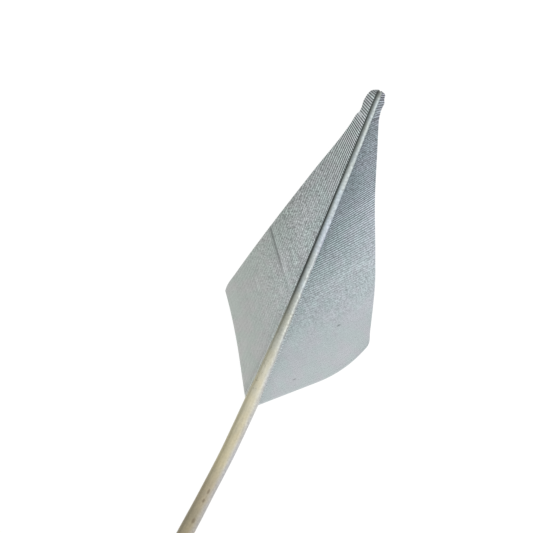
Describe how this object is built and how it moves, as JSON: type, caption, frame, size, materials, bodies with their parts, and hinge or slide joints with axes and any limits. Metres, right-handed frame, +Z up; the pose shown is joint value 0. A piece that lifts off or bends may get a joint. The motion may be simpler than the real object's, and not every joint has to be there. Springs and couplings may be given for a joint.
{
  "type": "turkey quill feather",
  "caption": "Large grey quill feather trimmed to a kite shape on a bare cream shaft, for millinery, decoration, fletching or still life; lies on its underside.",
  "frame": {"origin": "middle of the bottom of the feather's box, on the surface it lies on", "axes": "+Y along the shaft towards the trimmed tip, +Z up out of the smooth upper side, +X to the wider vane"},
  "size_m": [0.0478, 0.2504, 0.0088],
  "materials": {
    "feather": "satin, fine barbs dyed pale grey, shaft grey above and cream below"
  },
  "bodies": {
    "root": {"feather": "feather"}
  },
  "joints": []
}
